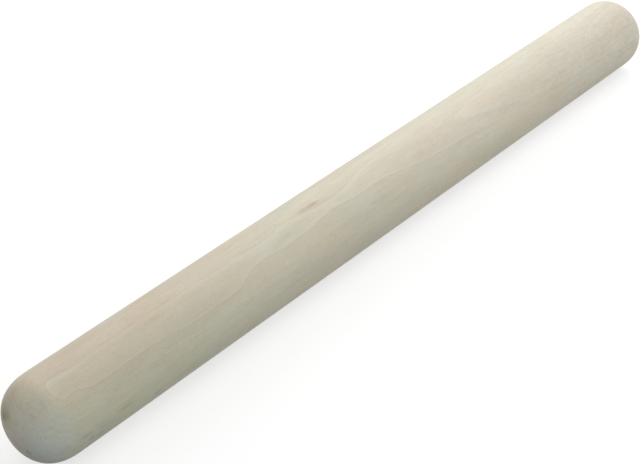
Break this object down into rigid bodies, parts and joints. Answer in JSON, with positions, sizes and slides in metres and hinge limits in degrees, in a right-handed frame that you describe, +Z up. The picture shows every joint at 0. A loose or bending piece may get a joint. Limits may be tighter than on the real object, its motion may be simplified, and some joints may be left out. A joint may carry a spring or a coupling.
{
  "type": "rolling pin",
  "caption": "Straight wooden rolling pin without handles: a plain solid cylinder with domed ends, rolled under the palms to flatten dough.",
  "frame": {"origin": "on the surface the pin lies on, under the middle of its length", "axes": "+X along the pin's axis, from the end with the deeper dome to the end with the flatter dome; +Z up"},
  "size_m": [0.457, 0.038, 0.038],
  "materials": {
    "pale_wood": "satin"
  },
  "bodies": {
    "root": {"rolling_pin": "pale_wood"}
  },
  "joints": []
}
